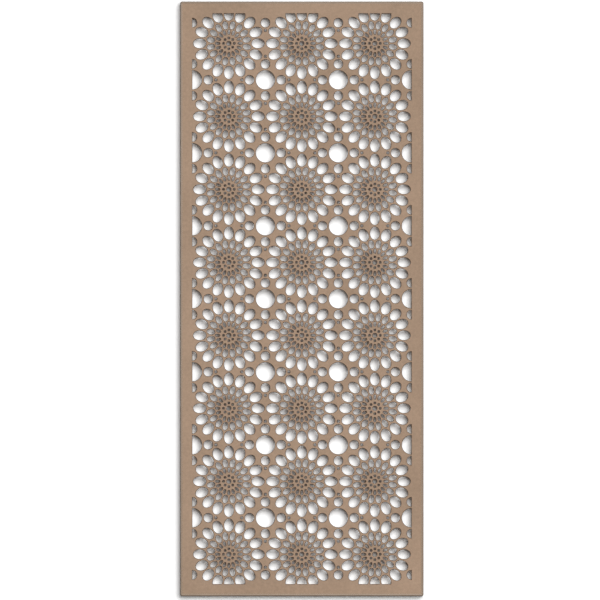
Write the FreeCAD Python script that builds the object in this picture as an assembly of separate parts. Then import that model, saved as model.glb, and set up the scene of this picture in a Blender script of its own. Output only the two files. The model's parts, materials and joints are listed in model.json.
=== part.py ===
"""Pierced wooden room divider panel, in millimetres.

A pierced board with a plain margin is stiffened by a half-lapped frame behind that margin. Wood
lippings close the edges of board and frame together, and threaded inserts in the top and bottom
edges take the bolts that hold the panel upright.

Frame: X across the panel, +Z up, the face towards -Y. The origin is at the middle of the bottom edge.
"""
import FreeCAD, Part
import math
import os

# Overall panel
PANEL_WIDTH = 900.0
PANEL_HEIGHT = 2200.0
FIELD_MARGIN = 45.0
CORNER_RADIUS = 7.0
ARRIS_RADIUS = 4.0

# Board, frame and lipping
SHEET_THICKNESS = 18.0
FRAME_DEPTH = 22.0
FRAME_SETBACK = 3.0
LIPPING_THICKNESS = 8.0
GLUE_LINE = 0.1

# Piercing: rosettes on a square grid, with a roundel and strings of dots between them
ROSETTE_PITCH = 270.0
HOLE_WEB = 7.0
RING_GAP = 2.0
RING_COUNT = 3
RING_GROWTH = 1.62
PETALS_PER_RING = 16
SEED_COUNT = 8
EYE_DIAMETER = 16.0
ROUNDEL_DIAMETER = 70.0
LEAST_HOLE = 8.0
LEAST_CUT = 12.0

# Dowel pins of the corner laps
PIN_DIAMETER = 8.0
PIN_INSET = 9.0
PIN_CLEARANCE = 0.05

# Countersunk wood screws
SCREW_DIAMETER = 4.0
SCREW_HEAD_DIAMETER = 8.0
SCREW_BITE = 8.0
SCREW_POINT = 4.0
SCREW_CLEARANCE = 0.2
SCREW_SPACING = 250.0
DRIVE_WIDTH = 1.2
DRIVE_SPAN = 5.0
DRIVE_DEPTH = 1.5

# Threaded inserts
INSERT_INSET = 150.0
INSERT_DIAMETER = 12.0
INSERT_LENGTH = 25.0
INSERT_BORE = 5.0
INSERT_SLOT = 2.0
INSERT_SLOT_DEPTH = 2.5
INSERT_CLEARANCE = 0.1
BOLT_ROOM = 4.0

# Worked out from the sizes above
HALF_WIDTH = PANEL_WIDTH / 2
MID_HEIGHT = PANEL_HEIGHT / 2
PANEL_DEPTH = SHEET_THICKNESS + FRAME_DEPTH
FRONT = -PANEL_DEPTH / 2
SHEET_BACK = FRONT + SHEET_THICKNESS
BACK = PANEL_DEPTH / 2
LAP_FACE = SHEET_BACK + FRAME_DEPTH / 2
CORE_EDGE = LIPPING_THICKNESS + GLUE_LINE
MEMBER_WIDTH = FIELD_MARGIN - FRAME_SETBACK - CORE_EDGE
MEMBER_LINE = CORE_EDGE + MEMBER_WIDTH / 2
MEMBER_INNER = CORE_EDGE + MEMBER_WIDTH
FIELD_HALF_WIDTH = HALF_WIDTH - FIELD_MARGIN
FIELD_HALF_HEIGHT = MID_HEIGHT - FIELD_MARGIN

ALONG_X = FreeCAD.Vector(1, 0, 0)
ALONG_Y = FreeCAD.Vector(0, 1, 0)
ALONG_Z = FreeCAD.Vector(0, 0, 1)
SIDES = {"left": -1, "right": 1}
ENDS = {"bottom": 0, "top": 1}


def box_between(low, high):
    """A box from its lowest corner to its highest."""
    size = [high[axis] - low[axis] for axis in range(3)]
    return Part.makeBox(*size, FreeCAD.Vector(*low))


def prism(points, y_from, y_to):
    """The outline of (x, z) points, extruded from front to back."""
    corners = [FreeCAD.Vector(x, y_from, z) for x, z in points]
    outline = Part.makePolygon(corners + corners[:1])
    return Part.Face(outline).extrude(ALONG_Y * (y_to - y_from))


def mirrored_left_right(shape):
    """The same piece on the other side of the panel's middle."""
    return shape.mirror(FreeCAD.Vector(0, 0, 0), ALONG_X)


def mirrored_top_bottom(shape):
    """The same piece at the other end of the panel."""
    return shape.mirror(FreeCAD.Vector(0, 0, MID_HEIGHT), ALONG_Z)


def on_side(shape, side):
    """A piece modelled for the left, placed on the given side."""
    return mirrored_left_right(shape) if SIDES[side] > 0 else shape


def at_end(shape, end):
    """A piece modelled for the bottom, placed at the given end."""
    return mirrored_top_bottom(shape) if ENDS[end] else shape


def ellipse_wire(x, z, half_length, half_width, angle):
    """A closed ellipse on the front plane, its length turned by angle from +X."""
    length_axis = FreeCAD.Vector(math.cos(angle), 0, math.sin(angle))
    width_axis = FreeCAD.Vector(-math.sin(angle), 0, math.cos(angle))
    centre = FreeCAD.Vector(x, FRONT, z)
    if half_length > half_width:
        curve = Part.Ellipse(centre + length_axis * half_length, centre - width_axis * half_width, centre)
    elif half_length < half_width:
        curve = Part.Ellipse(centre + width_axis * half_width, centre + length_axis * half_length, centre)
    else:
        curve = Part.Circle(centre, ALONG_Y, half_length)
    return Part.Wire(curve.toShape())


def rosette_holes():
    """Holes (x, z, half length, half width, angle) of one rosette about its own centre."""
    holes = [(0.0, 0.0, EYE_DIAMETER / 2, EYE_DIAMETER / 2, 0.0)]
    outer = ROSETTE_PITCH / 2
    for ring in range(RING_COUNT):
        inner = outer / RING_GROWTH
        tip = outer - (HOLE_WEB if ring == 0 else RING_GAP) / 2
        root = inner + RING_GAP / 2
        radius = (tip + root) / 2
        half_width = radius * math.sin(math.pi / PETALS_PER_RING) - HOLE_WEB / 2
        for petal in range(PETALS_PER_RING):
            angle = 2 * math.pi * (petal + ring % 2 / 2) / PETALS_PER_RING
            place = (radius * math.cos(angle), radius * math.sin(angle))
            holes.append((*place, (tip - root) / 2, half_width, angle))
        outer = inner
    seed_circle = (EYE_DIAMETER / 2 + outer) / 2
    seed_radius = seed_circle * math.sin(math.pi / SEED_COUNT) - HOLE_WEB / 2
    for seed in range(SEED_COUNT):
        angle = 2 * math.pi * seed / SEED_COUNT
        place = (seed_circle * math.cos(angle), seed_circle * math.sin(angle))
        holes.append((*place, seed_radius, seed_radius, 0.0))
    return holes


def roundel_holes():
    """Holes of the space between four rosettes: a roundel, and dots that fill the four narrowing arms."""
    half_pitch = ROSETTE_PITCH / 2
    clear_of_petals = half_pitch + HOLE_WEB / 2
    radius = ROUNDEL_DIAMETER / 2
    holes = [(0.0, 0.0, radius, radius, 0.0)]
    edge = radius + HOLE_WEB
    while edge < half_pitch:
        room = half_pitch - edge
        spare = room ** 2 + half_pitch ** 2 - clear_of_petals ** 2
        dot = spare / (2 * (room + clear_of_petals))
        if dot < LEAST_HOLE / 2:
            break
        for x, z in ((1, 0), (0, 1), (-1, 0), (0, -1)):
            holes.append((x * (edge + dot), z * (edge + dot), dot, dot, 0.0))
        edge += 2 * dot + HOLE_WEB
    return holes


def field_holes():
    """Every hole of the pattern that reaches into the pierced field, centred on the field."""
    columns = math.ceil(FIELD_HALF_WIDTH / ROSETTE_PITCH) + 1
    rows = math.ceil(FIELD_HALF_HEIGHT / ROSETTE_PITCH) + 1
    between = ROSETTE_PITCH / 2
    holes = []
    for column in range(-columns, columns + 1):
        for row in range(-rows, rows + 1):
            x = column * ROSETTE_PITCH
            z = row * ROSETTE_PITCH
            holes += [(x + h[0], z + between + h[1], *h[2:]) for h in rosette_holes()]
            holes += [(x + between + h[0], z + h[1], *h[2:]) for h in roundel_holes()]
    return holes


def hole_wires():
    """Outlines of the piercing. A hole that crosses the field's edge is cut straight along it."""
    field = Part.makePlane(
        2 * FIELD_HALF_WIDTH, 2 * FIELD_HALF_HEIGHT,
        FreeCAD.Vector(-FIELD_HALF_WIDTH, FRONT, MID_HEIGHT + FIELD_HALF_HEIGHT), ALONG_Y, ALONG_X,
    )
    wires = []
    for x, z, half_length, half_width, angle in field_holes():
        reach_x = math.hypot(half_length * math.cos(angle), half_width * math.sin(angle))
        reach_z = math.hypot(half_length * math.sin(angle), half_width * math.cos(angle))
        past_x = abs(x) + reach_x - FIELD_HALF_WIDTH
        past_z = abs(z) + reach_z - FIELD_HALF_HEIGHT
        if 2 * reach_x - past_x < LEAST_CUT or 2 * reach_z - past_z < LEAST_CUT:
            continue
        wire = ellipse_wire(x, z + MID_HEIGHT, half_length, half_width, angle)
        if past_x > 0 or past_z > 0:
            wire = Part.Face(wire).common(field).Faces[0].OuterWire
        wires.append(wire)
    return wires


def screw_places():
    """Screws (x, z) of each frame member, evenly spaced between the corner laps."""
    def spread(half_span):
        steps = round(2 * half_span / SCREW_SPACING)
        return [half_span * (2 * step / steps - 1) for step in range(1, steps)]

    stile = spread(MID_HEIGHT - MEMBER_INNER)
    rail = spread(HALF_WIDTH - MEMBER_INNER)
    return {
        "left_stile": [(MEMBER_LINE - HALF_WIDTH, MID_HEIGHT + z) for z in stile],
        "right_stile": [(HALF_WIDTH - MEMBER_LINE, MID_HEIGHT + z) for z in stile],
        "bottom_rail": [(x, MEMBER_LINE) for x in rail],
        "top_rail": [(x, PANEL_HEIGHT - MEMBER_LINE) for x in rail],
    }


def wood_screw(x, z, grow=0.0):
    """A screw driven forwards from the frame's back. Grown by a clearance, it cuts its own hole."""
    radius = SCREW_DIAMETER / 2 + grow
    head = SCREW_HEAD_DIAMETER / 2 + grow
    head_end = BACK - (head - radius)
    tip = SHEET_BACK - SCREW_BITE - grow
    profile = [(0, BACK), (head, BACK), (radius, head_end), (radius, tip + SCREW_POINT), (0, tip)]
    corners = [FreeCAD.Vector(x + r, y, z) for r, y in profile]
    outline = Part.makePolygon(corners + corners[:1])
    return Part.Face(outline).revolve(FreeCAD.Vector(x, 0, z), ALONG_Y, 360)


def driven_screw(x, z):
    """A screw with the cross recess in its head."""
    span = DRIVE_SPAN / 2
    width = DRIVE_WIDTH / 2
    across = box_between((x - span, BACK - DRIVE_DEPTH, z - width), (x + span, BACK, z + width))
    upright = box_between((x - width, BACK - DRIVE_DEPTH, z - span), (x + width, BACK, z + span))
    return wood_screw(x, z).cut(across.fuse(upright))


def pierced_sheet():
    """The board: its plain margin, the piercing and the blind holes that the screws bite into."""
    half_width = HALF_WIDTH - CORE_EDGE
    half_height = MID_HEIGHT - CORE_EDGE
    corners = [(-half_width, -half_height), (half_width, -half_height)]
    corners += [(half_width, half_height), (-half_width, half_height)]
    outline = Part.makePolygon([FreeCAD.Vector(x, FRONT, MID_HEIGHT + z) for x, z in corners + corners[:1]])
    sheet = Part.Face([outline] + hole_wires()).extrude(ALONG_Y * SHEET_THICKNESS)
    bites = [wood_screw(x, z, SCREW_CLEARANCE) for places in screw_places().values() for x, z in places]
    return sheet.cut(Part.makeCompound(bites))


def stile(side):
    """A frame upright. Its ends keep the front half of the depth, under the rails."""
    outer = CORE_EDGE - HALF_WIDTH
    inner = MEMBER_INNER - HALF_WIDTH
    bar = box_between((outer, SHEET_BACK, CORE_EDGE), (inner, BACK, PANEL_HEIGHT - CORE_EDGE))
    shoulder = MEMBER_INNER + GLUE_LINE
    notch = box_between((outer, LAP_FACE - GLUE_LINE / 2, 0), (inner, BACK, shoulder))
    bar = bar.cut(Part.makeCompound([notch, mirrored_top_bottom(notch)]))
    holes = [wood_screw(x, z, SCREW_CLEARANCE) for x, z in screw_places()["left_stile"]]
    holes += [lap_pin(x, z, PIN_CLEARANCE) for end in ENDS for x, z in pin_places("left", end)]
    return on_side(bar.cut(Part.makeCompound(holes)), side)


def rail(end):
    """A frame cross bar. Its ends keep the back half of the depth, over the stiles."""
    outer = HALF_WIDTH - CORE_EDGE
    bar = box_between((-outer, SHEET_BACK, CORE_EDGE), (outer, BACK, MEMBER_INNER))
    shoulder = HALF_WIDTH - MEMBER_INNER - GLUE_LINE
    notch = box_between((-outer, SHEET_BACK, CORE_EDGE), (-shoulder, LAP_FACE + GLUE_LINE / 2, MEMBER_INNER))
    bar = bar.cut(Part.makeCompound([notch, mirrored_left_right(notch)]))
    holes = [wood_screw(x, z, SCREW_CLEARANCE) for x, z in screw_places()["bottom_rail"]]
    holes += [lap_pin(x, z, PIN_CLEARANCE) for side in SIDES for x, z in pin_places(side, "bottom")]
    holes += [insert_hole(side) for side in SIDES]
    return at_end(bar.cut(Part.makeCompound(holes)), end)


def pin_places(side, end):
    """The two pins (x, z) of a corner lap, on its diagonal."""
    places = []
    for inset in (CORE_EDGE + PIN_INSET, MEMBER_INNER - PIN_INSET):
        x = SIDES[side] * (HALF_WIDTH - inset)
        z = PANEL_HEIGHT - inset if ENDS[end] else inset
        places.append((x, z))
    return places


def lap_pin(x, z, grow=0.0):
    """A dowel pin through both halves of a lap, flush with the frame's back."""
    place = FreeCAD.Vector(x, SHEET_BACK, z)
    return Part.makeCylinder(PIN_DIAMETER / 2 + grow, FRAME_DEPTH, place, ALONG_Y)


def envelope():
    """The whole panel as one rounded block, which gives the lippings their outer form."""
    block = box_between((-HALF_WIDTH, FRONT, 0), (HALF_WIDTH, BACK, PANEL_HEIGHT))
    depth_edges = [edge for edge in block.Edges if edge.BoundBox.YLength > PANEL_DEPTH / 2]
    block = block.makeFillet(CORNER_RADIUS, depth_edges)
    arrises = [edge for edge in block.Edges if edge.BoundBox.YLength < PANEL_DEPTH / 2]
    return block.makeFillet(ARRIS_RADIUS, arrises)


def side_lipping(side):
    """An upright edge strip over board and frame, mitred at both ends."""
    inner = LIPPING_THICKNESS - HALF_WIDTH
    gap = GLUE_LINE / 2
    points = [(-HALF_WIDTH, gap), (inner, LIPPING_THICKNESS + gap)]
    points += [(x, PANEL_HEIGHT - z) for x, z in reversed(points)]
    return on_side(prism(points, FRONT, BACK).common(envelope()), side)


def end_lipping(end):
    """A cross edge strip over board and frame, mitred at both ends and bored for the inserts."""
    gap = GLUE_LINE / 2
    points = [(-HALF_WIDTH + gap, 0), (LIPPING_THICKNESS - HALF_WIDTH + gap, LIPPING_THICKNESS)]
    points += [(-x, z) for x, z in reversed(points)]
    strip = prism(points, FRONT, BACK).common(envelope())
    return at_end(strip.cut(Part.makeCompound([insert_hole(side) for side in SIDES])), end)


def insert_place(side):
    """The mouth of a bottom insert, in the middle of the frame's depth."""
    return FreeCAD.Vector(SIDES[side] * (HALF_WIDTH - INSERT_INSET), LAP_FACE, 0)


def insert_hole(side):
    """The stepped hole of an insert: its seat, then room for the bolt's end."""
    place = insert_place(side)
    seat = Part.makeCylinder(INSERT_DIAMETER / 2 + INSERT_CLEARANCE, INSERT_LENGTH, place, ALONG_Z)
    relief = Part.makeCylinder(INSERT_BORE / 2, INSERT_LENGTH + BOLT_ROOM, place, ALONG_Z)
    return seat.fuse(relief)


def insert(side, end):
    """A slotted threaded insert, flush with the panel's edge."""
    place = insert_place(side)
    body = Part.makeCylinder(INSERT_DIAMETER / 2, INSERT_LENGTH, place, ALONG_Z)
    bore = Part.makeCylinder(INSERT_BORE / 2, INSERT_LENGTH, place, ALONG_Z)
    reach = INSERT_DIAMETER / 2
    slot = box_between(
        (place.x - reach, place.y - INSERT_SLOT / 2, 0),
        (place.x + reach, place.y + INSERT_SLOT / 2, INSERT_SLOT_DEPTH),
    )
    return at_end(body.cut(bore.fuse(slot)), end)


def all_pieces():
    """Every piece of the panel by its name."""
    pieces = {"pierced_sheet": pierced_sheet()}
    for side in SIDES:
        pieces[f"{side}_stile"] = stile(side)
        pieces[f"{side}_lipping"] = side_lipping(side)
    for end in ENDS:
        pieces[f"{end}_rail"] = rail(end)
        pieces[f"{end}_lipping"] = end_lipping(end)
        for side in SIDES:
            pins = [lap_pin(x, z) for x, z in pin_places(side, end)]
            pieces[f"{end}_{side}_pins"] = Part.makeCompound(pins)
            pieces[f"{end}_{side}_insert"] = insert(side, end)
    for member, places in screw_places().items():
        pieces[f"{member}_screws"] = Part.makeCompound([driven_screw(x, z) for x, z in places])
    return pieces


os.makedirs("parts", exist_ok=True)
for name, shape in all_pieces().items():
    shape.exportStep(f"parts/{name}.step")
    volume = sum(solid.Volume for solid in shape.Solids)
    print(f"{name}: {len(shape.Solids)} solids, {len(shape.Faces)} faces, {volume / 1000:.1f} cm3")
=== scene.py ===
"""Looks of the pierced wooden room divider panel: board, lippings, back frame and fixings.

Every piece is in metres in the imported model's frame: X across the panel, +Z up, the face towards -Y.
"""
from __future__ import annotations

import json
import logging
import math
from dataclasses import dataclass
from enum import Enum

import bmesh
import bpy
from bpy.types import Material, Node, NodeSocket, NodeTree, Object
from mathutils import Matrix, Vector

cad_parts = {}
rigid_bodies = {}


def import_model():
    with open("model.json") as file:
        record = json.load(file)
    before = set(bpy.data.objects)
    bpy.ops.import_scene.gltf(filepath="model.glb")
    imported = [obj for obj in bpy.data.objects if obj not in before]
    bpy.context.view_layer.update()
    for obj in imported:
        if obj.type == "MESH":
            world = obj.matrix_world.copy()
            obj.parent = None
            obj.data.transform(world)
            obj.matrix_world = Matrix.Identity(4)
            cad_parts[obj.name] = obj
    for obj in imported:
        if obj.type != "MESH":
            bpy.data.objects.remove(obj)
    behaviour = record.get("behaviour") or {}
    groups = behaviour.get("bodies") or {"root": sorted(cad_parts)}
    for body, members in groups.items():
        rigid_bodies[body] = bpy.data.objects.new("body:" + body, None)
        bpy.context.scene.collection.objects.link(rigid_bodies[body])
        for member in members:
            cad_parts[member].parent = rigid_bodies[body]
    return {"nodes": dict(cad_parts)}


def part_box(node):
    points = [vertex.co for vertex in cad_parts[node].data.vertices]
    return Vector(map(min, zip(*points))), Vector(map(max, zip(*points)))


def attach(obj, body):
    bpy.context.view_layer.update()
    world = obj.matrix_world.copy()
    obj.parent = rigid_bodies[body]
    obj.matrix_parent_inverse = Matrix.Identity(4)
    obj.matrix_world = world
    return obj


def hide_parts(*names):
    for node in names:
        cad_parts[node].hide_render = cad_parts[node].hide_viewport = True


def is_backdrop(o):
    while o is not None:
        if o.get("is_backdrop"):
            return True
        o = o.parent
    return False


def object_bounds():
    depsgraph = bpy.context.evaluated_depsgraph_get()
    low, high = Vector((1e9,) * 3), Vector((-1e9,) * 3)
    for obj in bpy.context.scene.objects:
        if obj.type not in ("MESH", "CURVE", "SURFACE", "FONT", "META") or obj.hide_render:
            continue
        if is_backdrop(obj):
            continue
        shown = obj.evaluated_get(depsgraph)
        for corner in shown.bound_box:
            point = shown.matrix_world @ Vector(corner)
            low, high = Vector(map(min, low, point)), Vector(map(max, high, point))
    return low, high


LOG = logging.getLogger("room_divider")
MM = 0.001
BODY = "root"
# Points within a hairline become one point, and faces that bend less than FLAT become one face.
HAIRLINE = 0.002 * MM
FLAT = math.radians(0.5)
# Edges that bend more than SHARP are shaded crisp, and those past CORNER are eased.
SHARP = math.radians(35)
CORNER = math.radians(40)
# At a scale of 1, a wave texture repeats at this step.
WAVE_STEP = 0.314


def linear(hex_colour: str) -> tuple[float, float, float, float]:
    """Turns an sRGB colour into linear values.

    Args:
        hex_colour: A hash sign and six hex digits.

    Returns:
        Linear red, green and blue, and an alpha of 1.
    """
    shares = [int(hex_colour[place:place + 2], 16) / 255 for place in (1, 3, 5)]
    red, green, blue = [s / 12.92 if s <= 0.04045 else ((s + 0.055) / 1.055) ** 2.4 for s in shares]
    return red, green, blue, 1.0


def add_node(
    tree: NodeTree, kind: str, inputs: dict[str | int, object] | None = None, **settings: object,
) -> Node:
    """Adds a node with its settings, and sets or links its inputs.

    Args:
        tree: The node tree that gets the node.
        kind: Blender's name of the node type.
        inputs: For each input's name or number, a value, an output socket to link, or a node of which the
            first output is linked.
        **settings: The node's own settings.

    Returns:
        The new node.
    """
    node = tree.nodes.new(kind)
    for name, value in settings.items():
        setattr(node, name, value)
    for key, value in (inputs or {}).items():
        source = value.outputs[0] if isinstance(value, Node) else value
        if isinstance(source, NodeSocket):
            tree.links.new(source, node.inputs[key])
        else:
            node.inputs[key].default_value = source
    return node


def geometry_tree(
    name: str, inputs: dict[str, str],
) -> tuple[NodeTree, dict[str, NodeSocket], Node]:
    """Starts a geometry node tree with named inputs and one geometry output.

    Args:
        name: The tree's name.
        inputs: The socket type of each named input, such as Float or Vector.

    Returns:
        The tree, its input sockets by name and its output node.
    """
    tree = bpy.data.node_groups.new(name, "GeometryNodeTree")
    for label, kind in inputs.items():
        tree.interface.new_socket(label, in_out="INPUT", socket_type=f"NodeSocket{kind}")
    tree.interface.new_socket("Geometry", in_out="OUTPUT", socket_type="NodeSocketGeometry")
    given = tree.nodes.new("NodeGroupInput")
    return tree, {label: given.outputs[label] for label in inputs}, tree.nodes.new("NodeGroupOutput")


def grown_piece(name: str, tree: NodeTree, values: dict[str, object]) -> Object:
    """Runs a geometry node tree once and keeps its result as a plain mesh.

    Args:
        name: The new piece's name.
        tree: The tree to run.
        values: A value for each named input of the tree.

    Returns:
        The piece, with no modifier left on it.
    """
    piece = bpy.data.objects.new(name, bpy.data.meshes.new(name))
    bpy.context.collection.objects.link(piece)
    modifier = piece.modifiers.new("grow", "NODES")
    modifier.node_group = tree
    for socket in tree.interface.items_tree:
        if socket.in_out == "INPUT":
            modifier[socket.identifier] = values[socket.name]
    evaluated = piece.evaluated_get(bpy.context.evaluated_depsgraph_get())
    mesh = bpy.data.meshes.new_from_object(evaluated)
    piece.modifiers.remove(modifier)
    piece.data = mesh
    return piece


def eased_copy(node: Object, name: str, ease: float) -> Object:
    """Copies a CAD node as one closed mesh with its sharp edges eased.

    Args:
        node: The CAD node's object.
        name: The new piece's name.
        ease: Width of the eased edges in metres.

    Returns:
        The new piece, with no material yet.
    """
    mesh = bpy.data.meshes.new(name)
    work = bmesh.new()
    work.from_mesh(node.data)
    bmesh.ops.remove_doubles(work, verts=work.verts, dist=HAIRLINE)
    bmesh.ops.dissolve_limit(work, angle_limit=FLAT, verts=work.verts, edges=work.edges)
    corners = [edge for edge in work.edges if edge.calc_face_angle(0.0) > CORNER]
    bmesh.ops.bevel(
        work, geom=corners, offset=ease, segments=2, profile=0.5, affect="EDGES", clamp_overlap=True,
    )
    for face in work.faces:
        face.smooth = True
    work.to_mesh(mesh)
    work.free()
    mesh.set_sharp_from_angle(angle=SHARP)
    piece = bpy.data.objects.new(name, mesh)
    bpy.context.collection.objects.link(piece)
    return piece


def finished_cut(tree: NodeTree, cut: NodeSocket) -> NodeSocket:
    """Closes the hairline gaps of a cut mesh and shades it smooth between its sharp edges.

    Args:
        tree: The geometry node tree that holds the mesh.
        cut: The mesh, as the cut leaves it.

    Returns:
        The finished mesh.
    """
    closed = add_node(tree, "GeometryNodeMergeByDistance", {"Geometry": cut, "Distance": HAIRLINE})
    smooth = add_node(tree, "GeometryNodeSetShadeSmooth", {"Geometry": closed})
    bend = add_node(tree, "GeometryNodeInputMeshEdgeAngle")
    sharp = add_node(tree, "ShaderNodeMath", {0: bend, 1: SHARP}, operation="GREATER_THAN")
    crisp = add_node(
        tree, "GeometryNodeSetShadeSmooth",
        {"Geometry": smooth, "Selection": sharp, "Shade Smooth": False}, domain="EDGE",
    )
    return crisp.outputs[0]


def settle(piece: Object, slot: str, *nodes: str) -> None:
    """Puts a finished piece in the place of its CAD nodes.

    Args:
        piece: The finished piece.
        slot: The record's material slot. It is not used.
        *nodes: The CAD nodes that it stands for.
    """
    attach(piece, BODY)
    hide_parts(*nodes)
    LOG.info("%s: %d faces, for %s", piece.name, len(piece.data.polygons), ", ".join(nodes))


def seen_rays(tree: NodeTree, path: Node) -> NodeSocket:
    """Tells the rays by which a surface is seen from those that carry light.

    Args:
        tree: The node tree of a material or of the world.
        path: Its Light Path node.

    Returns:
        1 for a camera, glossy or transmission ray, and 0 for any other.
    """
    seen = path.outputs["Is Camera Ray"]
    for kind in ("Is Glossy Ray", "Is Transmission Ray"):
        either = add_node(tree, "ShaderNodeMath", {0: seen, 1: path.outputs[kind]}, operation="MAXIMUM")
        seen = either.outputs[0]
    return seen


class Surface:
    """A material in the making, with its node tree, its shader's inputs and the place it reads."""

    def __init__(self, name: str) -> None:
        """Starts the material.

        Args:
            name: The material's name.
        """
        self.material = bpy.data.materials.new(name)
        self.material.use_nodes = True
        self.tree = self.material.node_tree
        self.shader = self.tree.nodes["Principled BSDF"].inputs
        self.place = add_node(self.tree, "ShaderNodeTexCoord").outputs["Object"]

    def roughen(self, pattern: NodeSocket, roughness: float, unevenness: float) -> None:
        """Varies the roughness with a pattern.

        Args:
            pattern: The pattern, from 0 to 1.
            roughness: The roughness at the pattern's middle.
            unevenness: How much is added at its top and taken off at its bottom, or the other way round
                if it is below 0.
        """
        sheen = add_node(
            self.tree, "ShaderNodeMapRange",
            {"Value": pattern, "To Min": roughness - unevenness, "To Max": roughness + unevenness},
        )
        self.tree.links.new(sheen.outputs[0], self.shader["Roughness"])

    def dress(
        self, tone: NodeSocket, dark: str, pale: str, height: NodeSocket,
        strength: float, relief_mm: float,
    ) -> Material:
        """Colours the surface between two tones and raises its pattern.

        Args:
            tone: The share of the pale tone.
            dark: The dark tone.
            pale: The pale tone.
            height: The height of the pattern.
            strength: How strongly the pattern shows.
            relief_mm: The depth of the pattern in millimetres.

        Returns:
            The finished material.
        """
        colour = add_node(
            self.tree, "ShaderNodeMix", {0: tone, 6: linear(dark), 7: linear(pale)}, data_type="RGBA",
        )
        self.tree.links.new(colour.outputs[2], self.shader["Base Color"])
        relief = {"Height": height, "Strength": strength, "Distance": relief_mm * MM}
        bump = add_node(self.tree, "ShaderNodeBump", relief)
        self.tree.links.new(bump.outputs[0], self.shader["Normal"])
        return self.material


class Axis(Enum):
    """An axis of the panel, along which grain runs or about which a fixing was turned."""

    ACROSS = "X"
    THROUGH = "Y"
    UPRIGHT = "Z"


@dataclass(frozen=True)
class LacqueredFibreboard:
    """Medium density fibreboard, sanded and sprayed with a matt tinted lacquer."""

    name: str = "lacquered_fibreboard"
    pale: str = "#B3967E"
    dark: str = "#927A64"
    fleck_mm: float = 1.5
    mottle_mm: float = 11.0
    cloud_mm: float = 260.0
    roughness: float = 0.6
    unevenness: float = 0.06
    gloss: float = 0.3

    def material(self) -> Material:
        """Builds the board's face finish.

        Returns:
            The material.
        """
        # An even tan with no grain: short fibres show as fine flecks, and the spray as a soft cloudiness.
        # The mottle is drawn about four times as coarse as real fibre clumps, so that the render shows it.
        surface = Surface(self.name)
        tree = surface.tree
        surface.shader["Specular IOR Level"].default_value = self.gloss
        layers = []
        for size, detail in ((self.fleck_mm, 2.0), (self.mottle_mm, 3.0), (self.cloud_mm, 2.0)):
            noise = add_node(
                tree, "ShaderNodeTexNoise",
                {"Vector": surface.place, "Scale": 1 / (size * MM), "Detail": detail, "Roughness": 0.6},
            )
            layers.append(noise.outputs["Fac"])
        fleck, mottle, cloud = layers
        fine = add_node(tree, "ShaderNodeMath", {0: fleck, 1: mottle}, operation="ADD")
        total = add_node(tree, "ShaderNodeMath", {0: fine, 1: cloud}, operation="ADD")
        tone = add_node(tree, "ShaderNodeMapRange", {"Value": total, "From Min": 1.0, "From Max": 2.0})
        surface.roughen(mottle, self.roughness, self.unevenness)
        return surface.dress(tone.outputs[0], self.dark, self.pale, fleck, strength=0.25, relief_mm=0.05)


@dataclass(frozen=True)
class CutFibreboard:
    """The walls and eased rims of the holes, scorched by the cutter and lacquered, and made darker still as
    painted shade.
    """

    name: str = "cut_fibreboard"
    # The skin's dark tone is partly scorch and partly painted shade round the holes.
    skin: str = "#3E2F24"
    core: str = "#5A4636"
    fuzz_mm: float = 0.8
    front_mm: float = -20.0
    back_mm: float = -2.0
    core_share: float = 1.2
    least_share: float = -0.1
    fuzz_share: float = 0.8
    roughness: float = 0.8

    def material(self) -> Material:
        """Builds the finish of the hole walls.

        Returns:
            The material.
        """
        # Hot cut fibre that drinks the lacquer: far darker and duller than the face. Part of that dark is
        # scorch, and part is painted shade that gives every hole a dark rim.
        # Its core, at half the depth, is looser and paler than its skins.
        surface = Surface(self.name)
        tree = surface.tree
        surface.shader["Roughness"].default_value = self.roughness
        fuzz = add_node(
            tree, "ShaderNodeTexNoise",
            {"Vector": surface.place, "Scale": 1 / (self.fuzz_mm * MM), "Detail": 3.0},
        ).outputs["Fac"]
        axes = add_node(tree, "ShaderNodeSeparateXYZ", {0: surface.place})
        depth = add_node(
            tree, "ShaderNodeMapRange",
            {"Value": axes.outputs["Y"], "From Min": self.front_mm * MM, "From Max": self.back_mm * MM},
        )
        loose = add_node(tree, "ShaderNodeMath", {0: depth, 1: 0.5}, operation="PINGPONG")
        tone = add_node(
            tree, "ShaderNodeMath", {0: loose, 1: self.core_share, 2: self.least_share},
            operation="MULTIPLY_ADD",
        )
        mixed = add_node(
            tree, "ShaderNodeMath", {0: fuzz, 1: self.fuzz_share, 2: tone},
            operation="MULTIPLY_ADD", use_clamp=True,
        )
        return surface.dress(mixed.outputs[0], self.skin, self.core, fuzz, strength=0.5, relief_mm=0.15)


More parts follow.
